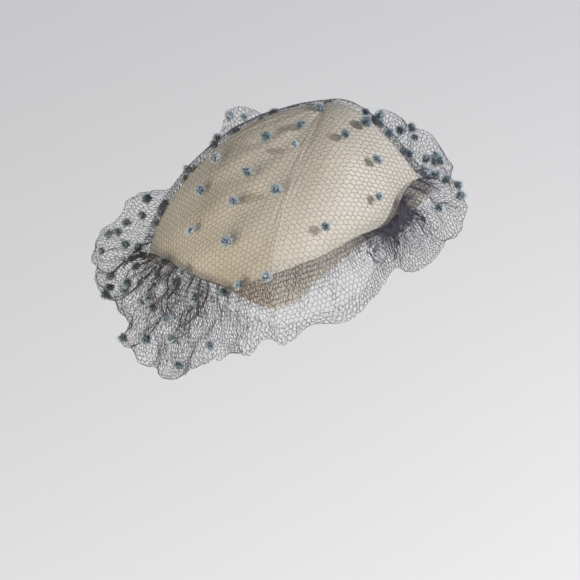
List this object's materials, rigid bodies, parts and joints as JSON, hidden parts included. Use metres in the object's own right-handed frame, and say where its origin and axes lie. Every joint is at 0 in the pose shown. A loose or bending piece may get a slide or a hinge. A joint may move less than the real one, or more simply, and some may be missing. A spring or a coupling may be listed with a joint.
{
  "type": "pillbox hat",
  "caption": "Small peaked pillbox hat of satin gores under a taut dotted net veil that puffs out into a gathered ruffle round the rim and hangs below it in front.",
  "frame": {"origin": "in the plane of the crown's rim, midway between its corners, where it sits on a head", "axes": "+Z out of the crown, -Y to the wearer's front, +X to the wearer's left"},
  "size_m": [0.2383, 0.2092, 0.1051],
  "materials": {
    "gore_front_left": "cream duchess satin with a soft sheen",
    "gore_front_right": "cream duchess satin with a soft sheen",
    "gore_back_left": "cream duchess satin with a soft sheen",
    "gore_back_right": "cream duchess satin with a soft sheen",
    "veil_crown": "dark navy open net with blue-grey chenille dots",
    "veil_ruffle": "dark navy open net with blue-grey chenille dots"
  },
  "bodies": {
    "root": {"gore_front_left": "gore_front_left", "gore_front_right": "gore_front_right", "gore_back_left": "gore_back_left", "gore_back_right": "gore_back_right", "veil_crown": "veil_crown", "veil_ruffle": "veil_ruffle"}
  },
  "joints": []
}
